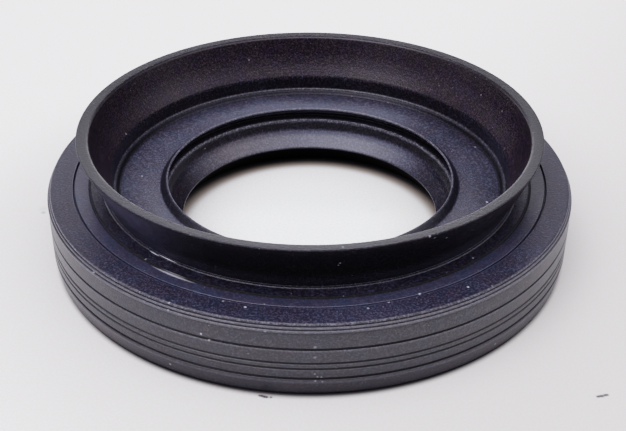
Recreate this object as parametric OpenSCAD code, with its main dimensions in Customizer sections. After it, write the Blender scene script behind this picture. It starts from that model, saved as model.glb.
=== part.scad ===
// Rotary shaft seal with a flared side lip, two dust lips and a spring loaded sealing lip.
// The moulded rubber body is one turned section. All lengths are millimetres, and the
// oil side rests on z = 0 with the flare upwards.

/* [Outside wall] */
// Outside diameter, pressed into the housing
outside_d = 68; // [64:0.5:76]
// Height of the ribbed body, without the flare
body_h = 9.8; // [9.2:0.1:13]
// Thickness of the outside wall
wall_t = 2.6; // [2:0.1:3.5]
// Height of the lead-in taper at the foot of the wall
lead_h = 2.1; // [1:0.1:2.3]
// How far the lead-in taper goes in
lead_in = 0.35; // [0.2:0.05:0.5]
// Radius of the round on the bottom edge
foot_round = 0.6; // [0.2:0.05:0.8]
// Height of the lowest fine groove round the wall
low_groove_z = 2.58; // [2.5:0.02:3.2]
// Height of the pair of grooves above it
mid_groove_z = 4.66; // [4.4:0.02:5]
// Spacing of the two grooves in that pair
pair_gap = 0.76; // [0.6:0.02:1]
// Height of the highest groove
high_groove_z = 6.6; // [5.8:0.1:7.2]
// Width of a groove round the wall
groove_w = 0.34; // [0.24:0.02:0.5]
// Depth of the lowest and the highest groove
groove_depth = 0.2; // [0.1:0.02:0.3]
// Depth of the pair's two grooves
pair_depth = 0.12; // [0.08:0.02:0.2]

/* [Top edge and face] */
// Number of fine ribs on the taper round the top edge
edge_ribs = 3; // [2:1:4]
// Height of that taper
edge_h = 1.05; // [0.8:0.05:1.3]
// How far that taper goes in
edge_in = 0.58; // [0.4:0.02:0.8]
// Radius of one fine rib
rib_r = 0.17; // [0.1:0.01:0.2]
// How far the face falls from its edge to the flare
face_dish = 0.2; // [0:0.05:0.4]
// Distance from the flare's foot to the ring groove in the face
face_groove_out = 3.9; // [3:0.1:4.2]
// Width of that groove
face_groove_w = 0.22; // [0.16:0.02:0.4]
// Depth of that groove
face_groove_depth = 0.3; // [0.15:0.01:0.4]
// Distance from the flare's foot to the fine step that the face falls to inside the groove
face_step_out = 1.9; // [1.4:0.1:2.4]
// Height of that step
face_step_h = 0.2; // [0.08:0.01:0.3]

/* [Flared side lip] */
// Height of the whole seal, up to the flare's rim
overall_h = 16.5; // [15:0.1:19]
// Outside diameter of the rim
rim_d = 59.5; // [57:0.5:66]
// Outside diameter of the flare's foot
foot_d = 53.4; // [51:0.2:55]
// Thickness of the flare, measured level
flare_t = 1.58; // [1:0.02:2]
// Thickness of the flare at its thin foot
foot_t = 1; // [0.7:0.05:1.3]
// Height of the straight foot inside the flare
foot_h = 1.8; // [1:0.1:2.5]
// How much lower the rim's inner edge is than its outer edge
rim_fall = 0.15; // [0:0.05:0.5]
// How far the flare's inner wall bows outwards, so that it is hollow like a bowl
flare_bow = 0.36; // [0.1:0.02:0.4]
// Width of the small shoulder that the flare stands on
shoulder_w = 0.4; // [0.2:0.02:0.6]
// Height of that shoulder
shoulder_h = 0.14; // [0.08:0.02:0.3]

/* [Web inside the flare] */
// Width of the ledge at the flare's foot
ledge_w = 0.45; // [0.3:0.01:0.8]
// Depth of the ledge's outer end below the top face
ledge_drop = 0.8; // [0.6:0.05:1]
// How far the ledge falls towards the bore
ledge_fall = 0.16; // [0.04:0.02:0.24]
// Width of the steep edge between the ledge and the web
ledge_edge_w = 0.33; // [0.15:0.01:0.4]
// Depth of the web's outer end below the top face
web_drop = 1.42; // [1.3:0.02:1.6]
// How far the web falls towards the bore
web_fall = 0.14; // [0:0.02:0.3]
// How far the web bows upwards between its two ends
web_bow = 0.2; // [0.02:0.01:0.3]
// Thickness of the web at the bore
web_t = 1.85; // [1.5:0.05:2.2]

/* [Dust lips] */
// How much larger the upper dust lip's radius is than the sealing edge's
dust_out = 1.62; // [1.2:0.02:1.9]
// Height of the upper dust lip above the web
dust_rise = 0.96; // [0.6:0.02:1.3]
// Thickness of the upper dust lip, measured upright
dust_t = 0.7; // [0.5:0.05:0.9]
// Width of the upper dust lip's outer flank, measured level
dust_flank_w = 1.1; // [0.9:0.05:1.4]
// How much larger the lower dust lip's radius is than the sealing edge's
low_dust_out = 1.96; // [1.8:0.02:2.3]
// Depth of the lower dust lip's edge below the web's edge
low_dust_drop = 1.24; // [1.1:0.02:1.5]
// Depth of the slot between the two dust lips
slot_depth = 1.2; // [0.8:0.05:1.5]

/* [Sealing lip] */
// Diameter of the sealing edge before the shaft opens it
lip_d = 34; // [31:0.5:37]
// Depth of the sealing edge below the web's edge
lip_hang = 4.84; // [4.6:0.02:4.9]
// Width of the flat that the sealing edge is trimmed to
lip_land = 0.24; // [0.1:0.02:0.4]
// Angle between the shaft and the lip's air side
air_angle = 45; // [42:1:50]
// Angle between the shaft and the throat above the lip's air side
throat_angle = 12; // [8:1:16]
// Angle between the shaft and the lip's oil side
oil_angle = 38; // [32:1:45]
// Depth of the lip's toe below the sealing edge
toe_drop = 2.6; // [2.4:0.05:2.9]

/* [Garter spring] */
// Outside diameter of the spring's coil
coil_d = 2; // [1.6:0.1:2.2]
// Room between the coil and its groove
coil_room = 0.05; // [0.02:0.01:0.1]
// Rubber between the sealing edge and the spring, measured level
under_spring = 1.7; // [1.5:0.05:2]
// Height of the spring's middle above the sealing edge
spring_lift = 0.55; // [0.3:0.05:0.8]
// How far the lip reaches past the spring's middle
spring_hold = 0.6; // [0.4:0.05:0.8]

/* [Hidden] */
$fn = 180;

// Fillets, each limited to this share of the edges that it joins
fillet_share = 0.48;
fine_fillet = 0.12;
edge_fillet = 0.25;
web_fillet = 0.8;
cavity_fillet = 1.2;
channel_fillet = 1.8;
bow_fillet = 14;
web_bow_fillet = 18;
ledge_fillet = 0.5;
rim_fillet = 0.45;
fillet_steps = 5;

// Small sizes of the noses, the slot and the ribs
dust_nose_w = 0.14;
dust_nose_h = 0.3;
low_dust_nose = 0.15;
slot_half_h = 0.14;
rib_sink = 0.1;
first_rib = 0.4;
groove_lean = 0.04;
step_lean = 0.05;
bow_at = 0.4;

// Radii, from the outside in
outside_r = outside_d / 2;
cavity_r = outside_r - wall_t;
rim_r = rim_d / 2;
foot_r = foot_d / 2;
foot_in_r = foot_r - foot_t;
ledge_r = foot_in_r - ledge_w;
lip_r = lip_d / 2;
dust_r = lip_r + dust_out;
low_dust_r = lip_r + low_dust_out;
web_in_r = dust_r + dust_flank_w;
seat_r = coil_d / 2 + coil_room;
spring_r = lip_r + under_spring + seat_r;
lip_back_r = spring_r + spring_hold;

// Heights, from the top down
foot_z = body_h - face_dish;
ledge_z = body_h - ledge_drop;
knee_z = ledge_z + foot_h;
web_out_z = body_h - web_drop;
web_in_z = web_out_z - web_fall;
dust_z = web_in_z + dust_rise;
low_dust_z = web_in_z - low_dust_drop;
slot_z = (web_in_z - dust_t + low_dust_z) / 2 + low_dust_nose;
floor_z = web_in_z - web_t;
lip_z = web_in_z - lip_hang;
spring_z = lip_z + spring_lift;
toe_z = lip_z - toe_drop;
toe_r = lip_r + (toe_drop - lip_land / 2) * tan(oil_angle);
air_z = lip_z + lip_land / 2;
throat_z = low_dust_z - low_dust_nose;
channel_z = (low_dust_out + air_z * tan(air_angle) - throat_z * tan(throat_angle))
    / (tan(air_angle) - tan(throat_angle));
channel_r = lip_r + (channel_z - air_z) * tan(air_angle);

// Height of the dished top face at a radius
face_in_r = foot_r + shoulder_w;
face_out_r = outside_r - edge_in;
web_out_r = ledge_r - ledge_edge_w;
function face_z(r) = foot_z + face_dish * (r - face_in_r) / (face_out_r - face_in_r);

// Where the face's groove and step are, and the bow in the flare's inner wall
face_groove_r = foot_r + face_groove_out;
face_step_r = foot_r + face_step_out;
bow_r = foot_in_r + bow_at * (rim_r - flare_t - foot_in_r) + flare_bow;
bow_z = knee_z + bow_at * (overall_h - rim_fall - knee_z);

function unit(v) = v / norm(v);

// Points of one corner of an outline: a single point, or a fillet between its two edges
function corner(before, at, after, fillet) =
    let (
        u = unit(before - at),
        w = unit(after - at),
        half = acos(u * w) / 2,
        room = fillet_share * min(norm(before - at), norm(after - at)),
        radius = min(fillet, room * tan(half)),
        centre = at + unit(u + w) * radius / sin(half),
        start = at + u * radius / tan(half) - centre,
        end = at + w * radius / tan(half) - centre,
        from = atan2(start.y, start.x),
        sweep = (atan2(end.y, end.x) - from + 540) % 360 - 180
    )
    fillet == 0 ? [at]
    : [for (i = [0:fillet_steps])
        centre + radius * [cos(from + sweep * i / fillet_steps),
                           sin(from + sweep * i / fillet_steps)]];

// An outline given as [radius, height, fillet] for each corner
function filleted(corners) =
    let (n = len(corners), at = [for (c = corners) [c.x, c.y]])
    [for (i = [0:n - 1])
        each corner(at[(i + n - 1) % n], at[i], at[(i + 1) % n], corners[i].z)];

outer_corners = [
    [outside_r - lead_in, 0, foot_round],
    [outside_r, lead_h, 0],
    [outside_r, body_h - edge_h, 0],
    [face_out_r, body_h, fine_fillet],
    [face_groove_r, face_z(face_groove_r), 0],
    [face_step_r + step_lean, face_z(face_step_r) - face_step_h, 0],
    [face_step_r, face_z(face_step_r), 0],
];
flare_corners = [
    [face_in_r, foot_z, 0],
    [face_in_r - shoulder_h / 2, foot_z + shoulder_h, fine_fillet],
    [foot_r, foot_z + shoulder_h, edge_fillet],
    [rim_r, overall_h, fine_fillet],
    [rim_r - flare_t, overall_h - rim_fall, rim_fillet],
    [bow_r, bow_z, bow_fillet],
    [foot_in_r, knee_z, cavity_fillet],
];
web_corners = [
    [foot_in_r, ledge_z, web_fillet],
    [ledge_r, ledge_z - ledge_fall, ledge_fillet],
    [web_out_r, web_out_z, 0],
    [(web_out_r + web_in_r) / 2, (web_out_z + web_in_z) / 2 + web_bow, web_bow_fillet],
    [web_in_r, web_in_z, edge_fillet],
];
dust_lip_corners = [
    [dust_r + dust_nose_w, dust_z, fine_fillet],
    [dust_r, dust_z - dust_nose_h, fine_fillet],
    [dust_r + dust_t / 2, dust_z - dust_t, 0],
    [low_dust_r + slot_depth, slot_z + slot_half_h, edge_fillet],
    [low_dust_r + slot_depth, slot_z - slot_half_h, edge_fillet],
    [low_dust_r, low_dust_z + low_dust_nose, fine_fillet],
    [low_dust_r, low_dust_z - low_dust_nose, fine_fillet],
];
sealing_lip_corners = [
    [channel_r, channel_z, channel_fillet],
    [lip_r, air_z, 0],
    [lip_r, lip_z - lip_land / 2, 0],
    [toe_r, toe_z, edge_fillet],
    [lip_back_r, toe_z, edge_fillet],
    [lip_back_r, floor_z, web_fillet],
];
cavity_corners = [
    [cavity_r, floor_z, cavity_fillet],
    [cavity_r, 0, edge_fillet],
];

// Section of one fine groove, cut from the surface at x = 0 inwards along -x
module fine_groove(width, depth) {
    over = 0.05;
    half = width / 2;
    floor_half = half - groove_lean;
    polygon([[-depth, floor_half], [-depth, -floor_half], [0, -half], [over, -half],
        [over, half], [0, half]]);
}

// Sections of the fine ribs on the taper round the top edge
module edge_rib_sections() {
    for (i = [0:edge_ribs - 1]) {
        along = (i + first_rib) / edge_ribs;
        translate([outside_r - edge_in * along - rib_sink, body_h - edge_h * (1 - along)])
            circle(r = rib_r);
    }
}

// Sections of the grooves round the wall and in the top face
module groove_sections() {
    for (z = [low_groove_z, high_groove_z])
        translate([outside_r, z]) fine_groove(groove_w, groove_depth);
    for (z = [mid_groove_z - pair_gap, mid_groove_z])
        translate([outside_r, z]) fine_groove(groove_w, pair_depth);
    translate([face_groove_r, face_z(face_groove_r)])
        rotate(90) fine_groove(face_groove_w, face_groove_depth);
}

// The moulded rubber body: press fit wall, web, flare, dust lips and sealing lip
module seal_body() {
    color([0.17, 0.17, 0.19])
        rotate_extrude()
            difference() {
                union() {
                    polygon(filleted(concat(outer_corners, flare_corners, web_corners,
                        dust_lip_corners, sealing_lip_corners, cavity_corners)));
                    edge_rib_sections();
                }
                groove_sections();
                translate([spring_r, spring_z]) circle(r = seat_r);
            }
}

// The closed coil spring that holds the sealing lip on the shaft, as its outer form
module garter_spring() {
    color("silver")
        rotate_extrude()
            translate([spring_r, spring_z]) circle(r = coil_d / 2);
}

seal_body();
garter_spring();
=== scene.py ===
# %% [markdown]
# # A rotary shaft seal in black rubber
# The seal is one rubber moulding with a steel coil spring behind its sealing lip. Everything on it is
# round about one upright axis, so this lesson draws half of the section once, rounds its corners, and
# spins it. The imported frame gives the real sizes.

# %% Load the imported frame
from math import cos, pi, radians, sin, tan

import bmesh
import bpy
from mathutils import Matrix, Vector


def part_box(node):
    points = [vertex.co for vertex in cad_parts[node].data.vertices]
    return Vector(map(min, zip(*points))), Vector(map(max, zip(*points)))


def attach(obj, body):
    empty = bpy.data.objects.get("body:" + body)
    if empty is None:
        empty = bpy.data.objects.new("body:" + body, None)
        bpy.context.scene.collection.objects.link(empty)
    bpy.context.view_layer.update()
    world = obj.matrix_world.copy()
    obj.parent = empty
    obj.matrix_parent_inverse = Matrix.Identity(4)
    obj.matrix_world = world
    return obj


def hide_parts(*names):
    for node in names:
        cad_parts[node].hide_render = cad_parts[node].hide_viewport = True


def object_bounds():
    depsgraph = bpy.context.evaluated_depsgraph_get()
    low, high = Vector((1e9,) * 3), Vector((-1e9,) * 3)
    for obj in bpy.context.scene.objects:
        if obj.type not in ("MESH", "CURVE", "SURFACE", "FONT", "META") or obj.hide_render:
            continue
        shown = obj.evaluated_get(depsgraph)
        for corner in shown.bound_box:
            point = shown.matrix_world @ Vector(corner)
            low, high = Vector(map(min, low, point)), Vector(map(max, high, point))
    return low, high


MM = 0.001
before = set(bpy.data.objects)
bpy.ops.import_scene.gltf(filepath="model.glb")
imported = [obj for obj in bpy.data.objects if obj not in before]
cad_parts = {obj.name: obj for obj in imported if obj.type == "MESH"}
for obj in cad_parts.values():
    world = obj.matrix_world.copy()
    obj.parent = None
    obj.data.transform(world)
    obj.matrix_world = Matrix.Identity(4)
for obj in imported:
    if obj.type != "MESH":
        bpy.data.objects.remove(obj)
cad_low, cad_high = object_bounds()
print("the frame measures", [round(side / MM, 2) for side in cad_high - cad_low], "mm")

# %% [markdown]
# ## Sizes
# The outside, the height and the spring's place come from the frame, so the looks can't drift from it. The
# rest is set in millimetres in the next cells, measured from those.

# %% Take the driving sizes from the frame
spring_low, spring_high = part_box("garter_spring")
outside_r = cad_high.x / MM
overall_h = round(cad_high.z / MM, 1)  # the rim's fillet takes a few hundredths off
coil_r = (spring_high.z - spring_low.z) / 2 / MM
spring_r = spring_high.x / MM - coil_r
spring_z = spring_low.z / MM + coil_r
body_h = 9.8
print(f"outside radius {outside_r:.2f}, height {overall_h:.2f}, spring at {spring_r:.2f}, {spring_z:.2f}")

# %% [markdown]
# ## The section
# A moulded part is easiest to think of as one closed outline. Each corner is a radius, a height and the
# fillet that the mould has there, all in millimetres. Such an outline could be drawn by hand in the
# viewport, but a list of corners can be read, checked and changed. A fine groove is four corners and a
# fine rib is three, so small functions write them.

# %% Helpers for grooves and ribs
SHARP, CRISP, FINE, EDGE = 0.03, 0.05, 0.12, 0.25
GROOVE_LEAN = 0.04
RIB_PLACE, RIB_SINK = 0.4, 0.1


def groove(depth, width, first_fillet=CRISP):
    """The corners of a fine square groove: how far along, how far in, and the fillet."""
    half, floor_half = width / 2, width / 2 - GROOVE_LEAN
    floor = [(-floor_half, depth, SHARP), (floor_half, depth, SHARP)]
    return [(-half, 0, first_fillet), *floor, (half, 0, CRISP)]


def wall_groove(radius, height, depth, width=0.34):
    """A groove in the upright outside wall, from below to above."""
    return [(radius - into, height + along, fillet) for along, into, fillet in groove(depth, width, 0.1)]


def face_groove(radius, height, depth, width):
    """A groove in a face that looks up, from the outside in."""
    return [(radius - along, height - into, fillet) for along, into, fillet in groove(depth, width)]


def edge_ribs(count, taper_in, taper_h, rib_r):
    """Fine round ribs on the taper round the top edge, from below to above."""
    ribs = []
    for i in range(count):
        along = (i + RIB_PLACE) / count
        radius = outside_r - taper_in * along - RIB_SINK
        height = body_h - taper_h * (1 - along)
        ribs += [
            (radius, height - rib_r * 1.05, SHARP),
            (radius + rib_r, height - rib_r * 0.9, FINE),
            (radius + rib_r, height + rib_r * 0.9, FINE),
        ]
    return ribs


print("fillets of", SHARP, CRISP, FINE, "and", EDGE, "mm")

# %% [markdown]
# The outside wall is pressed into the housing. It leans in at the bottom to start easily, and has four
# fine grooves, two deep and two shallow, and three fine ribs round its top edge.

# %% Outline: the outside wall
lead_h, lead_in = 2.1, 0.35
edge_h, edge_in = 1.05, 0.58
GROOVES = ((2.58, 0.2), (3.9, 0.12), (4.66, 0.12), (6.6, 0.2))
RIBS, RIB_R = 3, 0.17
wall_corners = [(outside_r - lead_in, 0, 0.6), (outside_r, lead_h, 0.1)]
for groove_z, depth in GROOVES:
    wall_corners += wall_groove(outside_r, groove_z, depth)
wall_corners += edge_ribs(RIBS, edge_in, edge_h, RIB_R)
print(len(GROOVES), "grooves and", RIBS, "ribs, in", len(wall_corners), "corners")

# %% [markdown]
# The top face isn't flat: it falls a little towards the flare. A function gives its height at any radius,
# so that the groove and the small step in it always start from the face.

# %% Outline: the top face
face_dish = 0.2
foot_r, foot_t, foot_h = 26.7, 1.0, 1.8
shoulder_w, shoulder_h = 0.4, 0.14
face_in_r = foot_r + shoulder_w
face_out_r = outside_r - edge_in


def face_z(radius):
    """Height of the slightly dished top face."""
    return body_h - face_dish * (face_out_r - radius) / (face_out_r - face_in_r)


face_groove_r, face_step_r = foot_r + 3.9, foot_r + 1.9
face_groove_d, face_groove_w, face_step_d = 0.3, 0.22, 0.2
face_corners = [(face_out_r, body_h, FINE)]
face_corners += face_groove(face_groove_r, face_z(face_groove_r), face_groove_d, face_groove_w)
face_corners += [
    (face_step_r + 0.05, face_z(face_step_r) - face_step_d, SHARP),
    (face_step_r, face_z(face_step_r), CRISP),
]
print(f"face from radius {face_out_r:.2f} in to {face_in_r:.2f}, groove at {face_groove_r:.1f}")

# %% [markdown]
# The flare is a side lip that leans outwards and runs against a mating face. Its inside is slightly
# hollow. An arc there needs many points, but one corner with a very large fillet bends the line the same
# way.

# %% Outline: the flare
rim_r, rim_t, rim_fall = 29.75, 1.58, 0.15
ledge_z = body_h - 0.8
knee_z = ledge_z + foot_h
bow_at, flare_bow, bow_fillet = 0.4, 0.36, 14
bow_r = foot_r - foot_t + bow_at * (rim_r - rim_t - foot_r + foot_t) + flare_bow
bow_z = knee_z + bow_at * (overall_h - rim_fall - knee_z)
flare_corners = [
    (face_in_r, body_h - face_dish, CRISP),
    (face_in_r - shoulder_h / 2, body_h - face_dish + shoulder_h, 0.08),
    (foot_r, body_h - face_dish + shoulder_h, EDGE),
    (rim_r, overall_h, FINE),
    (rim_r - rim_t, overall_h - rim_fall, 0.45),
    (bow_r, bow_z, bow_fillet),
    (foot_r - foot_t, knee_z, 1.2),
]
print(f"flare from radius {foot_r:.1f} at its foot to {rim_r:.2f} at its rim")

# %% [markdown]
# Inside the flare, a steep little ledge leads down to the web, the thin wall that carries the lips. The
# web bows up slightly, by the same trick. Then come two dust lips with a slot between them, which keep
# dirt off the sealing lip.

# %% Outline: the ledge, the web and the two dust lips
ledge_w, ledge_fall, ledge_slope_w = 0.45, 0.16, 0.33
ledge_r = foot_r - foot_t - ledge_w
web_out_r, web_out_z = ledge_r - ledge_slope_w, body_h - 1.42
lip_r = 17.0
dust_r = lip_r + 1.62
web_in_r, web_in_z = dust_r + 1.1, web_out_z - 0.14
web_bow, web_fillet = 0.2, 18
web_corners = [
    (foot_r - foot_t, ledge_z, 0.8),
    (ledge_r, ledge_z - ledge_fall, 0.5),
    (web_out_r, web_out_z, 0.1),
    ((web_out_r + web_in_r) / 2, (web_out_z + web_in_z) / 2 + web_bow, web_fillet),
    (web_in_r, web_in_z, EDGE),
]

low_dust_r, low_dust_z = lip_r + 1.96, web_in_z - 1.24
low_dust_half = 0.15
slot_r, slot_z, slot_half = low_dust_r + 1.2, (web_in_z - 0.7 + low_dust_z) / 2 + 0.15, 0.14
dust_corners = [
    (dust_r + 0.14, web_in_z + 0.96, FINE),
    (dust_r, web_in_z + 0.66, FINE),
    (dust_r + 0.35, web_in_z + 0.26, 0.1),
    (slot_r, slot_z + slot_half, EDGE),
    (slot_r, slot_z - slot_half, EDGE),
    (low_dust_r, low_dust_z + low_dust_half, FINE),
    (low_dust_r, low_dust_z - low_dust_half, FINE),
]
print(f"web from radius {web_out_r:.2f} to {web_in_r:.2f}, dust lips at {dust_r:.2f} and {low_dust_r:.2f}")

# %% [markdown]
# The sealing lip touches the shaft with a land a quarter of a millimetre high. A cone of 45 degrees leads
# up from it on the air side, and a steeper throat meets that cone from above. Where the two meet is found
# from their slopes.

# %% Outline: the sealing lip
lip_z, half_land = web_in_z - 4.84, 0.12
air_slope, throat_slope, oil_slope = tan(radians(45)), tan(radians(12)), tan(radians(38))
air_z, throat_z = lip_z + half_land, low_dust_z - low_dust_half
channel_z = (low_dust_r - lip_r + air_z * air_slope - throat_z * throat_slope) / (air_slope - throat_slope)
channel_r = lip_r + (channel_z - air_z) * air_slope
toe_drop, toe_w = 2.6, 0.6
lip_corners = [
    (channel_r, channel_z, 1.8),
    (lip_r, air_z, SHARP),
    (lip_r, lip_z - half_land, SHARP),
    (lip_r + (toe_drop - half_land) * oil_slope, lip_z - toe_drop, EDGE),
    (spring_r + toe_w, lip_z - toe_drop, EDGE),
]
print(f"lip at radius {lip_r:.1f} and height {lip_z:.2f}, its cone meets the throat at {channel_z:.2f}")

# %% [markdown]
# The spring sits in a round seat that is open outwards. Its arc is a formula: points on a circle just
# larger than the coil. After it, three corners draw the oil side's cavity, and the outline is closed.

# %% Outline: the spring's seat and the oil side
seat_r = coil_r + 0.05
SEAT_STEPS = 14
OPEN_SHARE = 0.61
open_angle = pi / 2 - pi / 2 * OPEN_SHARE


def seat_point(step):
    """A point on the spring's seat, from its lower edge round the inside to its upper edge."""
    angle = -open_angle - (2 * pi - 2 * open_angle) * step / SEAT_STEPS
    return (spring_r + seat_r * cos(angle), spring_z + seat_r * sin(angle), 0)


lip_corners += [seat_point(step) for step in range(SEAT_STEPS + 1)]
cavity_r, floor_z = outside_r - 2.6, web_in_z - 1.85
oil_side_corners = [
    (spring_r + toe_w, floor_z, 0.8),
    (cavity_r, floor_z, 1.2),
    (cavity_r, 0, EDGE),
]
corners = (
    wall_corners + face_corners + flare_corners + web_corners
    + dust_corners + lip_corners + oil_side_corners
)
print(len(corners), "corners in the outline")

# %% [markdown]
# ## Round the corners
# A vertex bevel on a flat face cuts a corner back along both of its edges and puts an arc between the
# cuts. How far to cut back for a wanted radius depends on the angle: a sharp corner needs more. No cut may
# take more than about half of an edge, or two would meet. With a profile of 0.5 the arc is a true
# circle's.

# %% Make the outline as a flat face and fillet it
CORNER_SHARE = 0.48
ROUND_PROFILE = 0.5
SEGMENTS_UNDER = ((0.1, 1), (0.2, 3), (0.5, 4))
MOST_SEGMENTS = 6


def fillet_segments(radius):
    """How many straight pieces a fillet of this radius gets."""
    for limit, segments in SEGMENTS_UNDER:
        if radius < limit:
            return segments
    return MOST_SEGMENTS


def outline_mesh(corners):
    """A bmesh that holds the outline as one flat face in the XZ plane, with its fillets."""
    bm = bmesh.new()
    verts = [bm.verts.new((r * MM, 0, z * MM)) for r, z, _ in corners]
    bm.faces.new(verts)
    cuts = []
    for i, vert in enumerate(verts):
        back = verts[i - 1].co - vert.co
        ahead = verts[(i + 1) % len(verts)].co - vert.co
        room = CORNER_SHARE * min(back.length, ahead.length)
        cuts.append(min(corners[i][2] * MM / tan(back.angle(ahead) / 2), room))
    for vert, cut, corner in zip(verts, cuts, corners):
        if cut > 0:
            bmesh.ops.bevel(
                bm, geom=[vert], offset=cut, offset_type="OFFSET", affect="VERTICES",
                segments=fillet_segments(corner[2]), profile=ROUND_PROFILE, material=-1,
            )
    return bm


body_bm = outline_mesh(corners)
print(len(body_bm.verts), "points in the filleted outline")

# %% [markdown]
# ## Spin it
# The flat face goes and its rim stays, and a spin about the axis makes the moulding. A spin gets slow as
# its mesh grows, so only an eighth of the ring is spun. Three passes then double it up: each copies
# everything so far and turns the copy on. At the end, points that meet are merged.

# %% Spin the outline into the rubber moulding
STEPS = 360
PASSES = 3
MERGE = 0.002 * MM


def double_up(bm, step, passes):
    """Copies the whole mesh and moves the copy on, again and again, then merges what meets."""
    for _ in range(passes):
        copied = bmesh.ops.duplicate(bm, geom=bm.verts[:] + bm.edges[:] + bm.faces[:])["geom"]
        verts = [item for item in copied if isinstance(item, bmesh.types.BMVert)]
        bmesh.ops.transform(bm, matrix=step, verts=verts)
        step = step @ step
    bmesh.ops.remove_doubles(bm, verts=bm.verts[:], dist=MERGE)


bmesh.ops.delete(body_bm, geom=body_bm.faces[:], context="FACES_ONLY")
eighth = 2 * pi / 2**PASSES
bmesh.ops.spin(
    body_bm, geom=body_bm.verts[:] + body_bm.edges[:], cent=(0, 0, 0), axis=(0, 0, 1),
    angle=eighth, steps=STEPS // 2**PASSES,
)
double_up(body_bm, Matrix.Rotation(eighth, 4, "Z"), PASSES)
bmesh.ops.recalc_face_normals(body_bm, faces=body_bm.faces[:])
print(len(body_bm.faces), "faces in the moulding, volume", round(body_bm.calc_volume() / MM**3), "mm3")

# %% [markdown]
# A bmesh isn't an object yet. It is written into a mesh and shaded smooth, apart from its sharp edges.
# That would still bend the light on flat faces next to small fillets, so a weighted normal modifier lets
# the large faces decide.

# %% Make the rubber body from its mesh
SHARP_OVER = 40
FLAT_WEIGHT = 90


def finish_mesh(bm, name, sharp_degrees):
    """A smooth shaded object from a bmesh, with the edges over an angle left sharp."""
    for face in bm.faces:
        face.smooth = True
    for edge in bm.edges:
        edge.smooth = edge.calc_face_angle(0) < radians(sharp_degrees)
    mesh = bpy.data.meshes.new(name)
    bm.to_mesh(mesh)
    bm.free()
    piece = bpy.data.objects.new(name, mesh)
    bpy.context.scene.collection.objects.link(piece)
    return piece


body = finish_mesh(body_bm, "rubber_body", SHARP_OVER)
weighted = body.modifiers.new("flat faces stay flat", "WEIGHTED_NORMAL")
weighted.keep_sharp = True
weighted.weight = FLAT_WEIGHT
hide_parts("seal_body")
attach(body, "root")
print("made", body.name, "with", len(body.data.polygons), "faces")

# %% [markdown]
# ## The garter spring
# The real spring is a fine wire wound into a closed coil, with its ends joined to a ring. A curve with a
# bevel could draw it too, but a spin needs no curve: if it also moves along its axis, it winds the wire
# into a straight coil. A few turns are spun and doubled up, as the moulding was.

# %% Wind a straight coil
WIRE_R = 0.17
WIRE_SIDES = 6
TURNS = 352
TURN_STEPS = 10
WIND_PASSES = 5
ring_length = 2 * pi * spring_r * MM
wind_r = (coil_r - WIRE_R) * MM
coil_bm = bmesh.new()
bmesh.ops.create_circle(coil_bm, segments=WIRE_SIDES, radius=WIRE_R * MM, cap_ends=False)
bmesh.ops.translate(coil_bm, verts=coil_bm.verts[:], vec=(wind_r, 0, 0))
bmesh.ops.rotate(coil_bm, verts=coil_bm.verts[:], cent=(0, 0, 0), matrix=Matrix.Rotation(pi / 2, 3, "X"))
spun_turns = TURNS // 2**WIND_PASSES
bmesh.ops.spin(
    coil_bm, geom=coil_bm.verts[:] + coil_bm.edges[:], cent=(0, 0, 0), axis=(0, 0, 1),
    dvec=(0, 0, ring_length / TURNS / TURN_STEPS), angle=2 * pi * spun_turns, steps=spun_turns * TURN_STEPS,
)
double_up(coil_bm, Matrix.Translation((0, 0, ring_length * spun_turns / TURNS)), WIND_PASSES)
print(TURNS, "turns in a coil", round(ring_length / MM, 1), "mm long")

# %% [markdown]
# To close the coil to a ring, each point moves from its distance along the coil to an angle round the
# ring. The coil is exactly as long as the ring is round, so its two ends meet and can be merged.

# %% Bend the coil into the garter spring
WIRE_SHARP_OVER = 60
for vert in coil_bm.verts:
    angle = vert.co.z / (spring_r * MM)
    out = spring_r * MM + vert.co.x
    vert.co = Vector((out * cos(angle), out * sin(angle), spring_z * MM + vert.co.y))
bmesh.ops.remove_doubles(coil_bm, verts=coil_bm.verts[:], dist=MERGE)
bmesh.ops.recalc_face_normals(coil_bm, faces=coil_bm.faces[:])
print(len(coil_bm.faces), "faces in the spring")
spring = finish_mesh(coil_bm, "garter_coil", WIRE_SHARP_OVER)
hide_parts("garter_spring")
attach(spring, "root")

# %% [markdown]
# ## Shader groups
# Mould lines, dust, worn edges, motes and painted glints are needed again and again, so each is a node
# group with named sockets. Because the seal is round, most of them work on radius and height instead of X and
# Y.
# Nodes added one by one make long code, so a small class adds and wires each in one line, and a function
# starts a group.

# %% Helpers for node trees


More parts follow.
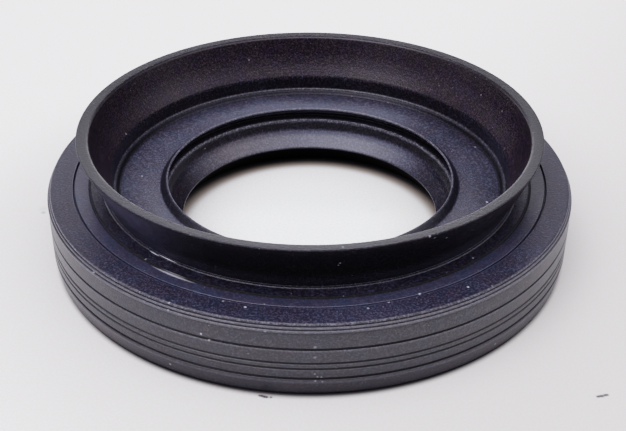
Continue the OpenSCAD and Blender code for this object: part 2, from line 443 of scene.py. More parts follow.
class Tree:
    """A short way to add nodes and wire them."""

    def __init__(self, tree):
        self.tree = tree

    def add(self, kind, links=None, **settings):
        """A new node, with its settings made and its inputs wired or set."""
        node = self.tree.nodes.new(kind)
        for name, value in settings.items():
            setattr(node, name, value)
        for socket, source in (links or {}).items():
            target = node.inputs[socket]
            if isinstance(source, bpy.types.NodeSocket):
                self.wire(source, target)
            else:
                target.default_value = source
        return node

    def wire(self, source, target):
        """A link from an output to an input."""
        self.tree.links.new(source, target)

    def group(self, group, **inputs):
        """The outputs of a node group, with its inputs wired or set."""
        return self.add("ShaderNodeGroup", inputs, node_tree=group).outputs

    def split(self, at):
        """The X, Y and Z of a place."""
        return self.add("ShaderNodeSeparateXYZ", {"Vector": at}).outputs

    def math(self, operation, first, second=0.0, clamp=False):
        """The result of one sum."""
        node = self.add("ShaderNodeMath", {0: first, 1: second}, operation=operation, use_clamp=clamp)
        return node.outputs[0]

    def times(self, product, *factors):
        """The product of two or more values."""
        for factor in factors:
            product = self.math("MULTIPLY", product, factor)
        return product

    def tone(self, base, swing, value):
        """A base that a value moves: base + swing * value."""
        return self.math("ADD", base, self.math("MULTIPLY", value, swing))

    def ramp(self, value, low, high, smooth=True):
        """From nought where the value is low to one where it is high."""
        kind = "SMOOTHSTEP" if smooth else "LINEAR"
        node = self.add(
            "ShaderNodeMapRange", {"Value": value, "From Min": low, "From Max": high},
            interpolation_type=kind,
        )
        return node.outputs["Result"]

    def noise(self, at, scale, detail, roughness=0.5):
        """The grey of a noise texture."""
        links = {"Vector": at, "Scale": scale, "Detail": detail, "Roughness": roughness}
        return self.add("ShaderNodeTexNoise", links).outputs["Fac"]


def new_group(name, vectors, floats, outputs):
    """A node group with these sockets, its Tree, its inputs and its output node."""
    group = bpy.data.node_groups.new(name, "ShaderNodeTree")
    sockets = (vectors, "INPUT", "Vector"), (floats, "INPUT", "Float"), (outputs, "OUTPUT", "Float")
    for names, way, kind in sockets:
        for socket in names:
            group.interface.new_socket(socket, in_out=way, socket_type="NodeSocket" + kind)
    tree = Tree(group)
    return group, tree, tree.add("NodeGroupInput").outputs, tree.add("NodeGroupOutput")


print("helpers:", Tree.__name__, new_group.__name__)

# %% [markdown]
# The first group turns a place into a radius, the distance from the upright axis, and a height.

# %% Group: radius and height
ring_place, t, given, out = new_group("ring place", ["Vector"], [], ["Radius", "Height"])
parts = t.split(given["Vector"])
across = t.math("POWER", parts["X"], 2.0)
along = t.math("POWER", parts["Y"], 2.0)
t.wire(t.math("SQRT", t.math("ADD", across, along)), out.inputs["Radius"])
t.wire(parts["Z"], out.inputs["Height"])
print("made", ring_place.name)

# %% [markdown]
# Mould lines run round the part, so they are noise that changes quickly with radius and height and slowly
# with the way round. The way round is given as a cosine and a sine, which meet themselves with no seam.

# %% Group: the turned mould lines
mould_lines, t, given, out = new_group("mould lines", ["Vector"], ["Fineness", "Drift"], ["Lines"])
place = t.group(ring_place, Vector=given["Vector"])
parts = t.split(given["Vector"])
cosine = t.times(t.math("DIVIDE", parts["X"], place["Radius"]), given["Drift"])
sine = t.times(t.math("DIVIDE", parts["Y"], place["Radius"]), given["Drift"])
across_lines = t.times(place["Radius"], given["Fineness"])
up_lines = t.times(place["Height"], given["Fineness"])
lines_at = t.add("ShaderNodeCombineXYZ", {"X": across_lines, "Y": up_lines, "Z": cosine})
lines = t.add(
    "ShaderNodeTexNoise", {"Vector": lines_at.outputs[0], "W": sine, "Scale": 1.0, "Detail": 2.0},
    noise_dimensions="4D",
)
t.wire(lines.outputs["Fac"], out.inputs["Lines"])
print("made", mould_lines.name)

# %% [markdown]
# Dust is a scatter of specks. A Voronoi texture gives every cell a centre and a random colour: the speck
# is a small disc at the centre, and the colour picks which cells have one and how large it is. The cube of
# a random number is mostly small, so most specks are fine.

# %% Group: dust specks
SMALLEST_SPECK = 0.25
dust_specks, t, given, out = new_group("dust specks", ["Vector"], ["Density", "Share", "Size"], ["Specks"])
cells = t.add("ShaderNodeTexVoronoi", {"Vector": given["Vector"], "Scale": given["Density"]})
pick = t.add("ShaderNodeSeparateColor", {"Color": cells.outputs["Color"]}).outputs
chosen = t.math("LESS_THAN", pick["Red"], given["Share"])
size = t.times(t.math("ADD", t.math("POWER", pick["Green"], 3.0), SMALLEST_SPECK), given["Size"])
disc = t.math("SUBTRACT", 1.0, t.math("DIVIDE", cells.outputs["Distance"], size), clamp=True)
t.wire(t.math("MULTIPLY", disc, chosen, clamp=True), out.inputs["Specks"])
print("made", dust_specks.name)

# %% [markdown]
# A worn or dusty edge shows as a thin pale line along one ring of the section. The same line also serves
# for painted highlights on edges and, in black, for painted shade lines. This group measures how far a
# point is from such a ring, and breaks the line up with noise.

# %% Group: pale line along an edge
BREAKS_SCALE = 260.0
edge_line, t, given, out = new_group(
    "edge line", ["Vector"], ["Radius", "Height", "Width", "Breaks"], ["Line"]
)
place = t.group(ring_place, Vector=given["Vector"])
off_r = t.math("POWER", t.math("SUBTRACT", place["Radius"], given["Radius"]), 2.0)
off_z = t.math("POWER", t.math("SUBTRACT", place["Height"], given["Height"]), 2.0)
away = t.math("SQRT", t.math("ADD", off_r, off_z))
near = t.math("SUBTRACT", 1.0, t.math("DIVIDE", away, given["Width"]), clamp=True)
breaks = t.noise(given["Vector"], BREAKS_SCALE, detail=4.0)
kept = t.math("SUBTRACT", 1.0, t.times(breaks, given["Breaks"]), clamp=True)
t.wire(t.math("MULTIPLY", near, kept, clamp=True), out.inputs["Line"])
print("made", edge_line.name)

# %% [markdown]
# Single motes are placed one by one. A mote is a soft ball round a point. It fades from a bit more than
# one to nought, so that its middle is solid.

# %% Group: one mote
MOTE_CORE = 1.3
mote, t, given, out = new_group("mote", ["Vector", "Place"], ["Size", "Strength"], ["Mote"])
away = t.add("ShaderNodeVectorMath", {0: given["Vector"], 1: given["Place"]}, operation="DISTANCE")
ball = t.math("SUBTRACT", MOTE_CORE, t.math("DIVIDE", away.outputs["Value"], given["Size"]), clamp=True)
t.wire(t.times(ball, given["Strength"]), out.inputs["Mote"])
print("made", mote.name)

# %% [markdown]
# A glint is a painted highlight: a short pale streak where an edge catches the light, on a piece of one of
# the rings of the section. So it is the edge line again, kept only near a point of that ring.

# %% Group: one short painted glint along a ring
GLINT_BREAKS, GLINT_LOSS, GLINT_GAIN = 0.3, 0.7, 1.8
glint_streak, t, given, out = new_group(
    "glint_streak", ["Vector", "Place"], ["Radius", "Height", "Width", "Half length"], ["Scratch"]
)
ring_sizes = {name: given[name] for name in ("Vector", "Radius", "Height", "Width")}
ring_line = t.group(edge_line, Breaks=GLINT_BREAKS, **ring_sizes)["Line"]
away = t.add("ShaderNodeVectorMath", {0: given["Vector"], 1: given["Place"]}, operation="DISTANCE")
lost = t.math("POWER", t.math("DIVIDE", away.outputs["Value"], given["Half length"]), 2.0)
kept = t.math("SUBTRACT", ring_line, t.times(lost, GLINT_LOSS), clamp=True)
t.wire(t.math("MULTIPLY", kept, GLINT_GAIN, clamp=True), out.inputs["Scratch"])
print("made", glint_streak.name)

# %% [markdown]
# ## Helpers for materials
# Colours are laid on one another like coats of paint. Each coat is a Mix node, and a mask as its factor
# says where it lies. Drawn by hand, such a chain soon fills the node editor, so small functions write it.

# %% Helpers for coats of colour


def coat(t, mask, under, over):
    """A colour with another one over it where the mask is one."""
    return t.add("ShaderNodeMix", {0: mask, 6: under, 7: over}, data_type="RGBA").outputs[2]


def new_material(name):
    """A material with an empty Principled surface, its Tree and its surface node."""
    material = bpy.data.materials.new(name)
    material.use_nodes = True
    return material, Tree(material.node_tree), material.node_tree.nodes["Principled BSDF"]


print("helpers:", coat.__name__, new_material.__name__)

# %% [markdown]
# ## The rubber
# Moulded nitrile rubber is a deep, slightly blue black with a satin skin. Age gives it a faint grey bloom
# in soft clouds, and the turned mould leaves fine rings in it. One plain colour would look like plastic,
# and a picture would fit one view only. So the black is mixed from noise in the seal's own coordinates:
# clouds for the bloom, smaller ones that turn the black warmer, a fine grain for later, and the lines.

# %% Start the rubber with its black
BLACK = (0.0098, 0.009, 0.0142, 1)
WARM_BLACK = (0.013, 0.009, 0.0138, 1)
BLOOM = (0.0175, 0.0155, 0.0225, 1)
CLOUD_SCALE, HUE_SCALE, GRAIN_SCALE, LINE_FINENESS = 90.0, 420.0, 3600.0, 9000.0

rubber, t, surface = new_material("moulded rubber")
at = t.add("ShaderNodeTexCoord").outputs["Object"]
bloom = t.ramp(t.noise(at, CLOUD_SCALE, detail=6.0, roughness=0.6), 0.35, 0.75)
hue = t.ramp(t.noise(at, HUE_SCALE, detail=4.0, roughness=0.6), 0.38, 0.6)
grain = t.noise(at, GRAIN_SCALE, detail=2.0, roughness=0.7)
mottle = t.ramp(grain, 0.42, 0.7)
lines = t.group(mould_lines, Vector=at, Fineness=LINE_FINENESS, Drift=1.2)[0]
colour = coat(t, bloom, coat(t, hue, BLACK, WARM_BLACK), BLOOM)
colour = coat(t, t.ramp(lines, 0.62, 0.8), colour, BLOOM)
print("started", rubber.name, "with a grain of about", round(1 / GRAIN_SCALE / MM, 2), "mm")

# %% [markdown]
# What is laid on the black lies at a radius and a height of the section. A band is one between two sizes,
# with soft ends, and a band of radius times a band of height is a zone. The films are paler on some sides
# than on others, so two more values say how far to the right and to the back a point lies, from minus one
# to one.

# %% Helpers for zones of the section
place = t.group(ring_place, Vector=at)
radius, height = place["Radius"], place["Height"]
parts = t.split(at)
to_right, to_back = t.math("DIVIDE", parts["X"], radius), t.math("DIVIDE", parts["Y"], radius)


def fade(t, value, start, end):
    """From nought at one size to one at another, both in millimetres."""
    return t.ramp(value, start * MM, end * MM)


def band(t, value, low, high, soft=0.1):
    """One between two sizes in millimetres and nought outside, fading over a soft width."""
    return t.times(fade(t, value, low - soft, low + soft), fade(t, value, high + soft, high - soft))


def zone(t, radii, heights, soft_r=0.1, soft_h=0.1):
    """One in a part of the section between two radii and two heights in millimetres."""
    return t.times(band(t, radius, *radii, soft_r), band(t, height, *heights, soft_h))


print("zones are read from", radius.name, "and", height.name)

# %% [markdown]
# ## Films of dust and painted light
# Dust settles on what looks up. The top face has it in three rings, parted by the groove and the step. The
# outer ring's film is laid at the front only, as painted light, and the middle one's gets thin at the far
# right.

# %% Find the film and the painted light on the top face
FACE_HEIGHTS = (9.2, 9.95)
OUTER_RING, MIDDLE_RING, INNER_RING = (30.75, 33.5), (28.7, 30.9), (27, 28.55)
# The outer ring's film, laid at the front only, is painted light.
on_face = t.times(zone(t, OUTER_RING, FACE_HEIGHTS), t.ramp(to_back, 0.1, -0.65))
thin_right = t.tone(1.0, -0.6, t.ramp(to_right, 0.75, 0.95))
on_mid_face = t.times(zone(t, MIDDLE_RING, FACE_HEIGHTS), thin_right)
on_inner_face = zone(t, INNER_RING, FACE_HEIGHTS)
print("the face's film lies at radii", OUTER_RING, MIDDLE_RING, INNER_RING)

# %% [markdown]
# The web lies deep inside the flare and keeps its dust best, mostly near the dust lip. Towards the back
# the film ends sooner, so the radius that it fades by is made larger there. Its strength is painted light
# too: stronger towards the back and weaker at the right. The cone above the sealing lip has a film at the
# back only, which is dust with painted light.

# %% Find the film and the painted light on the web and on the cone
WEB_RADII, WEB_HEIGHTS = (18.6, 25.6), (7.9, 9.3)
WEB_FILM_END, WEB_FILM_FULL = 29.4 * MM, 24.2 * MM
BACK_SHIFT = 3.4 * MM
CONE_HEIGHTS = (3.5, 5.6)
further = t.tone(radius, BACK_SHIFT, t.math("MAXIMUM", to_back, 0.0))
web_film = t.ramp(further, WEB_FILM_END, WEB_FILM_FULL, smooth=False)
# Painted light on the web: its film is stronger towards the back and weaker at the right.
web_film_and_light_tone = t.tone(0.74, 0.3, t.ramp(to_back, 0.6, 0.95))
web_film_and_light_tone = t.tone(web_film_and_light_tone, -0.25, t.ramp(to_right, 0.6, 0.95))
on_web = t.times(zone(t, WEB_RADII, WEB_HEIGHTS, soft_r=0.3), web_film)
on_web = t.math("MULTIPLY", on_web, web_film_and_light_tone, clamp=True)
in_lips = fade(t, radius, 19.4, 19.1)
# The cone's film, at the back only, is dust with painted light.
cone_film_and_light = t.times(in_lips, band(t, height, *CONE_HEIGHTS, 0.3), t.ramp(to_back, 0.2, 0.85))
print("the web's film lies at radii", WEB_RADII, "and the cone's at heights", CONE_HEIGHTS)

# %% [markdown]
# The flare is a cone, so one radius can't tell its outside from its inside. Taking a share of the height
# off the radius stands the cone upright, and then it can. Dust lies round its foot, outside and a little
# inside. Outside, it is thinner at the very front, which is painted shade, and inside it fades out towards
# the back. The pale film on the outside at the left is painted light.

# %% Find the film and the painted light on the flare
INNER_FOOT = (24.9, 26.6), (9.2, 10.8)
flare_slope = (rim_r - foot_r) / (overall_h - face_z(foot_r))
flare_lean = t.tone(radius, -flare_slope, height)
outside_flare = fade(t, flare_lean, 21.5, 21.9)
# Painted shade: the foot's film is thinner at the very front.
foot_film_and_front_shade = t.tone(0.45, 0.55, t.ramp(to_back, -1.0, -0.78))
on_flare_foot = t.times(outside_flare, band(t, height, 9.95, 11.6, 0.8), foot_film_and_front_shade)
# Painted light: a pale film on the flare's outside at the left.
flare_left_painted_light = t.times(outside_flare, band(t, height, 11.5, 16.2, 0.8), t.ramp(to_right, -0.35, -0.7))
on_flare_foot_in = t.times(zone(t, *INNER_FOOT, soft_h=0.4), t.ramp(to_back, 0.9, 0.1))
print("the flare leans out by", round(flare_slope, 3), "mm for each mm of height")

# %% [markdown]
# All these films become one mask, each with its own share, and the strongest counts where two meet, so the
# mask holds both dust and painted light. The bloom's clouds break it up a little. Its colour is a blue or a
# brown grey, paler on the web and the cone. The upright wall has a bloom of its own, thinned at the far
# left and towards the bottom as painted shade.

# %% Lay the films, with their painted light, on the black
BLUE_FILM, BROWN_FILM = (0.032, 0.0345, 0.056, 1), (0.036, 0.0335, 0.051, 1)
WEB_BLUE, WEB_BROWN = (0.056, 0.0585, 0.08, 1), (0.059, 0.0575, 0.076, 1)
CONE_BLUE, CONE_BROWN = (0.058, 0.058, 0.08, 1), (0.062, 0.055, 0.065, 1)
WALL_COOL, WALL_WARM = (0.047, 0.0475, 0.055, 1), (0.05, 0.0475, 0.053, 1)


def strongest(t, mask, shares):
    """The highest of a mask and several others, each of them taken with its share."""
    for share, other in shares:
        mask = t.math("MAXIMUM", mask, t.times(other, share))
    return mask


# One mask holds the dust films and the painted light.
film_and_painted_light = strongest(
    t, t.math("MAXIMUM", on_web, cone_film_and_light),
    (
        (0.5, on_face), (1.0, on_mid_face), (0.27, on_inner_face),
        (1.0, on_flare_foot), (1.0, flare_left_painted_light), (0.3, on_flare_foot_in),
    ),
)
film_and_painted_light = t.math("MULTIPLY", film_and_painted_light, t.tone(0.85, 0.35, bloom), clamp=True)
film_and_light_colour = coat(t, hue, BLUE_FILM, BROWN_FILM)
film_and_light_colour = coat(t, on_web, film_and_light_colour, coat(t, hue, WEB_BLUE, WEB_BROWN))
cone_colour = coat(t, t.ramp(to_right, 0.1, -0.7), CONE_BLUE, CONE_BROWN)
film_and_light_colour = coat(t, cone_film_and_light, film_and_light_colour, cone_colour)

on_wall = t.times(fade(t, radius, 33.0, 33.3), fade(t, height, 9.7, 9.4))
# Painted shade: the wall's bloom is thinner at the far left and towards the bottom.
wall_bloom_and_shade = t.tone(0.25, 0.5, t.ramp(to_right, -0.97, -0.7))
wall_bloom_and_shade = t.tone(wall_bloom_and_shade, 0.28, t.ramp(to_right, -0.7, 0.6))
wall_bloom_and_shade = t.times(wall_bloom_and_shade, t.tone(0.36, 0.59, fade(t, height, 1.8, 4.2)))
colour = coat(t, t.times(on_wall, wall_bloom_and_shade), colour, coat(t, hue, WALL_COOL, WALL_WARM))
colour = coat(t, film_and_painted_light, colour, film_and_light_colour)
print("films laid, the rubber has", len(rubber.node_tree.nodes), "nodes")

# %% [markdown]
# ## Deep black places, mostly painted shade
# Some places get no film and a deeper black. Under the flare at the front, on the dust lip's slope, in the
# throat, under the ledge, in the wall's grooves and on the oil side this is painted shade, where little light
# reaches, and under the rim inside the flare it is faint painted shade. The rim's top is darker too, most at
# the sides. The inside of the flare is a shade warmer.

# %% Find the places of painted shade and the darker rim
FLARE_PURPLE, FLARE_BROWN = (0.0132, 0.0078, 0.016, 1), (0.0158, 0.0098, 0.0145, 1)
DUST_SLOPE, LEDGE_FOOT = ((18.8, 19.75), (8.32, 9.12)), ((24.9, 25.4), (8.2, 9.0))
# Painted shade under the flare at the front, on the oil side, under the rim, on the dust lip's slope, in the
# throat, under the ledge and in the wall's grooves; the rim's top is also darker, most at the sides.
under_flare = t.times(outside_flare, band(t, height, 11.5, 16.25, 1.2), t.ramp(to_back, -0.7, -0.95))
oil_cone = t.times(fade(t, radius, 19.8, 19.4), fade(t, height, 3.4, 3.2))
inside_flare = t.times(fade(t, flare_lean, 21.5, 21.1), fade(t, height, 10.6, 11.4))
colour = coat(t, inside_flare, colour, coat(t, hue, FLARE_PURPLE, FLARE_BROWN))
under_rim = t.times(inside_flare, fade(t, height, 14, 15.6))
rim_tone = t.tone(0.85, -0.45, t.math("POWER", to_back, 2.0))
darker_rim_top = t.times(fade(t, height, 16.1, 16.3), rim_tone)
dust_slope = zone(t, *DUST_SLOPE)
throat = t.times(in_lips, band(t, height, 5.85, 6.85, 0.3))
under_ledge = zone(t, *LEDGE_FOOT, soft_r=0.25)
wall_grooves = t.times(fade(t, radius, 33.97, 33.9), band(t, height, 2.35, 7.0), on_wall)
painted_shade_and_dark_rim = strongest(
    t, oil_cone,
    (
        (0.9, under_flare), (0.25, under_rim), (1.0, darker_rim_top), (0.8, dust_slope), (0.5, throat),
        (0.8, under_ledge), (0.85, wall_grooves),
    ),
)
print("clean places found, the rubber has", len(rubber.node_tree.nodes), "nodes")

# %% [markdown]
# The face's groove and its step are only two or three tenths of a millimetre deep. Such soft light from
# all round hardly shades them, yet the photograph shows dark lines. So their shade is painted: the edge
# line group draws it, with a line that isn't pale but deep black. The groove's line fades out towards the
# front.

# %% Paint shade into the groove and the step, and lay on all the deep black
DEEP_BLACK = (0.003, 0.0024, 0.0042, 1)


def line_on_ring(t, ring_r, ring_z, width, breaks):
    """The edge line group on one ring of the section, with its sizes in millimetres."""
    sizes = {"Radius": ring_r * MM, "Height": ring_z * MM, "Width": width * MM}
    return t.group(edge_line, Vector=at, Breaks=breaks, **sizes)["Line"]


# Painted shade lines in the face's groove and at its step.
step_line = line_on_ring(t, face_step_r, face_z(face_step_r) - 0.12, width=0.3, breaks=0.2)
groove_line = line_on_ring(t, face_groove_r, face_z(face_groove_r) - 0.1, width=0.24, breaks=0.2)
groove_shade = t.times(t.ramp(groove_line, 0.1, 0.6), t.ramp(to_back, -0.85, -0.3), 0.6)
shade_lines = t.math("MAXIMUM", t.times(t.ramp(step_line, 0.1, 0.5), 0.7), groove_shade)
painted_shade_and_dark_rim = t.math("MAXIMUM", painted_shade_and_dark_rim, shade_lines)
colour = coat(t, painted_shade_and_dark_rim, colour, DEEP_BLACK)
print(f"dark lines at radius {face_step_r:.1f} and {face_groove_r:.1f}")

# %% [markdown]
# ## Worn edges and painted highlights
# Handling rubs the edges pale, and dust catches on them, and these pale lines also stand for painted
# highlights where edges catch the light. A bevel node or a curvature mask would find every edge alike, but
# only some are pale here, so each gets a line of its own: its ring's radius and height, the line's width,
# how much the noise breaks it up, and its strength.

# %% Draw the pale lines along the edges
EDGE_WEAR_AND_HIGHLIGHT = (0.115, 0.112, 0.132, 1)
# Pale lines on edges: painted highlights, with some wear and dust.
worn_and_highlit_edges = [
    (outside_r, lead_h, 0.3, 0.8, 0.5),
    (outside_r, body_h - 0.88, 0.2, 0.4, 0.7),
    (outside_r - 0.2, body_h - 0.53, 0.2, 0.4, 0.7),
    (outside_r - 0.4, body_h - 0.15, 0.2, 0.4, 0.7),
    (face_in_r - 0.1, body_h - face_dish + 0.12, 0.16, 1.0, 0.2),
    (ledge_r + 0.3, ledge_z - 0.06, 0.35, 0.9, 0.2),
    (dust_r, web_in_z + 0.8, 0.42, 0.6, 0.75),
    (low_dust_r, low_dust_z, 0.38, 0.5, 0.8),
    (outside_r, 6.35, 0.2, 0.8, 0.5),
]
edge_wear_and_highlights = [(edge[-1], line_on_ring(t, *edge[:-1])) for edge in worn_and_highlit_edges]
colour = coat(t, strongest(t, 0.0, edge_wear_and_highlights), colour, EDGE_WEAR_AND_HIGHLIGHT)
print(len(worn_and_highlit_edges), "pale edges")

# %% [markdown]
# ## Grain
# From close by, the skin is a fine grain of paler and darker points, so the grain noise multiplies the
# colour. Its usual value is taken off first, to keep the same black on average. Under a film it swings
# less.

# %% Let the grain scale the colour
USUAL_MOTTLE = 0.3
swing = t.tone(1.6, -1.1, t.math("MAXIMUM", film_and_painted_light, on_wall))
gain = t.tone(1.0, swing, t.math("SUBTRACT", mottle, USUAL_MOTTLE))
scaled = t.add("ShaderNodeVectorMath", {0: colour, "Scale": gain}, operation="SCALE")
colour = scaled.outputs["Vector"]
print("usual grain", USUAL_MOTTLE)

# %% [markdown]
# ## Loose dust
# On top of all that lie loose specks, three uses of the dust group: a fine scatter, a few large ones, and
# a dense, faint haze. The haze is thinner where the deep black is laid.

# %% Scatter the dust
DUST_AND_GLINT_GREY = (0.38, 0.37, 0.4, 1)
fine_dust = t.group(dust_specks, Vector=at, Density=2400.0, Share=0.3, Size=0.22)[0]
big_dust = t.group(dust_specks, Vector=at, Density=330.0, Share=0.1, Size=0.09)[0]
haze = t.group(dust_specks, Vector=at, Density=3300.0, Share=0.75, Size=0.4)[0]
dust_and_glints = t.math("MAXIMUM", t.times(fine_dust, 0.35), big_dust)
dust_and_glints = t.math("MAXIMUM", dust_and_glints, t.times(haze, t.tone(0.07, -0.05, painted_shade_and_dark_rim)))
print("three scatters of dust")

# %% [markdown]
# The photograph also shows single motes and three short glints on edges, which are painted as pale
# streaks. Each is placed by its radius, height and angle round the axis. A mote has a size and a
# strength, and a glint a width and half a length.

# %% Place the motes and the painted glints
MOTES = [
    (30.49, 9.67, -66.5, 0.2, 0.9), (32.0, 9.76, -56.6, 0.2, 0.8), (33.99, 7.09, -110.1, 0.18, 1.0),
    (31.34, 9.73, -102.7, 0.22, 0.75), (28.15, 9.63, -47.8, 0.18, 0.6), (28.66, 14.11, -83.4, 0.18, 0.5),
    (28.5, 13.75, -83.7, 0.16, 0.35), (33.53, 9.75, -116.9, 0.16, 0.5), (30.75, 9.72, -73.7, 0.2, 0.75),
    (33.86, 1.29, -117.4, 0.2, 0.6), (33.41, 9.8, -52.6, 0.14, 0.35), (30.94, 9.75, -107.6, 0.2, 0.4),
    (30.71, 9.72, -106.3, 0.18, 0.35), (30.35, 9.7, -99.2, 0.16, 0.35), (33.85, 1.22, -50.5, 0.2, 0.6),
    (24.42, 8.4, 19.8, 0.2, 0.45), (23.52, 8.45, -16.0, 0.22, 0.8), (33.8, 9.09, -136.5, 0.22, 0.6),
    (28.5, 9.6, -131.3, 0.2, 0.4), (27.37, 14.02, 28.9, 0.2, 0.3), (27.39, 14.07, 17.3, 0.2, 0.3),
    (33.92, 6.45, -108.6, 0.2, 0.5), (33.98, 8.78, -97.9, 0.22, 0.5), (33.9, 9.04, -116.8, 0.15, 0.45),
    (22.2, 8.46, -179.1, 0.22, 0.5), (25.9, 11.13, 165.6, 0.22, 0.35), (27.23, 13.63, 109.8, 0.2, 0.3),
    (29.07, 16.46, -83.0, 0.2, 0.4), (29.6, 16.35, -64.1, 0.22, 0.6), (29.4, 15.9, -62.6, 0.22, 0.5),
    (29.1, 15.1, -58.9, 0.2, 0.45), (33.98, 7.0, -88.9, 0.25, 0.3), (33.98, 5.6, -88.9, 0.25, 0.25),
    (33.99, 3.3, -88.9, 0.16, 0.4), (33.99, 2.9, -88.4, 0.16, 0.35), (33.99, 2.85, -87.7, 0.16, 0.4),
    (33.98, 2.3, -88.8, 0.16, 0.35), (33.98, 2.2, -87.5, 0.16, 0.35),
]
GLINT_STREAKS = [
    (28.84, 9.62, -122.3, 0.27, 4.5),
    (27.12, 9.66, -131.6, 0.085, 1.2),
    (26.98, 9.74, -127.2, 0.08, 1.5),
]
MOTE_SHARE = 0.72


def on_ring(ring_r, ring_z, degrees):
    """A place in metres from millimetres of radius and height and the angle round the axis."""
    turned = radians(degrees)
    return (ring_r * cos(turned) * MM, ring_r * sin(turned) * MM, ring_z * MM)


for mote_r, mote_z, degrees, size, strength in MOTES:
    spot = on_ring(mote_r, mote_z, degrees)
    speck = t.group(mote, Vector=at, Place=spot, Size=size * MOTE_SHARE * MM, Strength=strength)[0]
    dust_and_glints = t.math("MAXIMUM", dust_and_glints, speck)
# Painted glints: short pale streaks along edges, laid with the dust.
for glint_r, glint_z, degrees, width, half_length in GLINT_STREAKS:
    sizes = {
        "Radius": glint_r * MM, "Height": glint_z * MM, "Width": width * MM,
        "Half length": half_length * MM,
    }
    spot = on_ring(glint_r, glint_z, degrees)
    glint_mark = t.group(glint_streak, Vector=at, Place=spot, **sizes)[0]
    dust_and_glints = t.math("MAXIMUM", dust_and_glints, glint_mark)
# The dust and the painted glints share one pale grey.
colour = coat(t, dust_and_glints, colour, DUST_AND_GLINT_GREY)
t.wire(colour, surface.inputs["Base Color"])
print(len(MOTES), "motes and", len(GLINT_STREAKS), "painted_glints")

# %% [markdown]
# ## Gloss and relief
# Rubber shines softly. Dust and bloom make it duller, and the dark lines and the oil side's cone shouldn't
# shine at all, as the photograph shows no reflection there. A roughness of one would still leave a sheen,
# but a metal reflects in its base colour only, and a near black one hardly reflects. So Metallic serves as
# a mask there, and partly under the ledge. The grain and the mould lines go into the bump.

# %% Set the rubber's gloss and relief
PLAIN_ROUGHNESS, SPECULAR = 0.34, 0.3
BUMP_STRENGTH, BUMP_HEIGHT = 0.7, 0.06 * MM
rough = t.tone(PLAIN_ROUGHNESS, 0.06, t.math("MAXIMUM", bloom, film_and_painted_light))
rough = t.tone(rough, 0.5, t.math("MAXIMUM", oil_cone, shade_lines))
rough = t.tone(rough, 0.08, t.math("SUBTRACT", mottle, 0.4))
t.wire(t.tone(rough, 0.3, dust_and_glints), surface.inputs["Roughness"])
no_shine = strongest(t, oil_cone, [(0.6, under_ledge)])
t.wire(no_shine, surface.inputs["Metallic"])
relief = t.math("ADD", t.times(grain, 0.8), t.times(lines, 0.3))
bump = t.add("ShaderNodeBump", {"Height": relief, "Strength": BUMP_STRENGTH, "Distance": BUMP_HEIGHT})
t.wire(bump.outputs["Normal"], surface.inputs["Normal"])
surface.inputs["Specular IOR Level"].default_value = SPECULAR
body.data.materials.append(rubber)
print("rubber has", len(rubber.node_tree.nodes), "nodes")

# %% [markdown]
# ## The spring's steel
# Drawn spring wire is bright steel, and a thin film of grease dulls it in patches. Metallic is one, as for
# all bare metal, and noise mixes a clean and a rougher, greasy grey.

# %% Make the spring steel
GREASE_SCALE = 380.0
CLEAN_STEEL, GREASY_STEEL = (0.55, 0.55, 0.54, 1), (0.32, 0.31, 0.29, 1)
steel, t, surface = new_material("spring steel")
at = t.add("ShaderNodeTexCoord").outputs["Object"]
grease = t.ramp(t.noise(at, GREASE_SCALE, detail=5.0), 0.4, 0.7)
t.wire(coat(t, grease, CLEAN_STEEL, GREASY_STEEL), surface.inputs["Base Color"])
t.wire(t.tone(0.24, 0.25, grease), surface.inputs["Roughness"])
surface.inputs["Metallic"].default_value = 1.0
spring.data.materials.append(steel)
print("steel has", len(steel.node_tree.nodes), "nodes")

# %% [markdown]
# ## Floor
# The seal lies on white paper, so the floor is one pale, matt sheet, much larger than the view. In the
# photograph the light on it falls off towards the lower right and close to the seal, and the paper in the
# bore is lit most at the front. The world's soft light can't do that, so ramps over the sheet paint this
# light and shade into its colour, and a very fine noise stands for the paper's fibres.

# %% Lay the floor and tone the sheet
FLOOR_HALF = 1.5
FAR_LEFT_PAPER, NEAR_RIGHT_PAPER = (0.86, 0.825, 0.815, 1), (0.535, 0.505, 0.48, 1)
BESIDE_SEAL = (0.47, 0.45, 0.43, 1)
BORE_FRONT, BORE_BACK = (0.96, 1.0, 0.985, 1), (0.77, 0.8, 0.8, 1)
FIBRE = (0.42, 0.42, 0.44, 1)
FIBRE_SCALE = 3000.0

floor_bm = bmesh.new()
bmesh.ops.create_grid(floor_bm, x_segments=1, y_segments=1, size=FLOOR_HALF)
floor = finish_mesh(floor_bm, "floor", SHARP_OVER)
paper, t, surface = new_material("paper")
at = t.add("ShaderNodeTexCoord").outputs["Object"]
radius = t.group(ring_place, Vector=at)["Radius"]
parts = t.split(at)
lower_right = t.tone(parts["X"], -0.55, parts["Y"])
# Painted light and shade: paler at the far left, darker at the near right and beside the seal.
sheet = coat(t, fade(t, lower_right, -28, 68), FAR_LEFT_PAPER, NEAR_RIGHT_PAPER)
sheet = coat(t, t.times(fade(t, radius, 58, 37), 0.5), sheet, BESIDE_SEAL)
# Painted light in the bore: palest at the front.
bore_paper = coat(t, fade(t, parts["Y"], 1, 9), BORE_FRONT, BORE_BACK)
sheet = coat(t, fade(t, radius, 22, 6), sheet, bore_paper)
fibres = t.ramp(t.noise(at, FIBRE_SCALE, detail=3.0, roughness=0.7), 0.35, 0.65)
sheet = coat(t, t.times(fibres, 0.3), sheet, FIBRE)
print("the sheet is", 2 * FLOOR_HALF, "m wide")

# %% [markdown]
# The photograph's contact shadow is tighter and darker than such soft light can draw, so the paper itself
# is nearly black in the ring that the seal stands on. The ring reaches a little further out at the front
# and gets paler and browner towards the bore.

